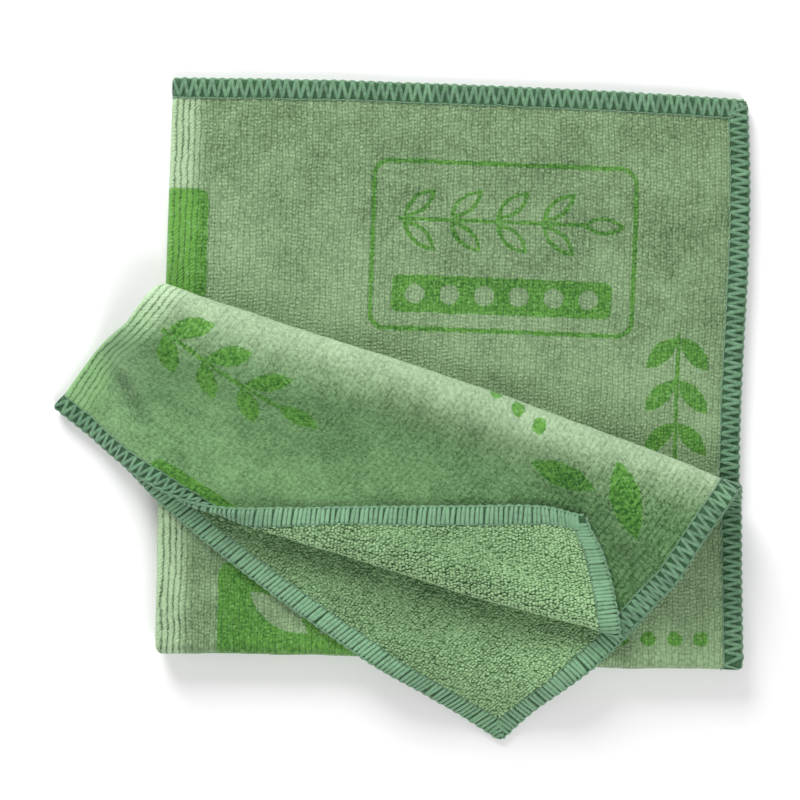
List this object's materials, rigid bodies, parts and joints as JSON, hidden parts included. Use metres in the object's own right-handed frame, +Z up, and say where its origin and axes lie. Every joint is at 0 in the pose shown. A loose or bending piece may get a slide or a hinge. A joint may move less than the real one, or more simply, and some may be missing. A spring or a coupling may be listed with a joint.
{
  "type": "folded microfibre kitchen cloth",
  "caption": "Square knitted microfibre cloth with an overlocked edge, folded in quarters, its upper layers turned back over a soft oblique roll and a corner turned up; for wiping and drying.",
  "frame": {"origin": "centre of the bounding box in plan, on the surface the cloth lies on", "axes": "+Z up from the surface; +Y towards the far overlocked edge of the folded square; +X towards its right overlocked edge"},
  "size_m": [0.2432, 0.2318, 0.0271],
  "materials": {
    "cloth": "sage green knitted microfibre, ribbed printed face, short looped reverse, matte"
  },
  "bodies": {
    "root": {"cloth": "cloth"}
  },
  "joints": []
}
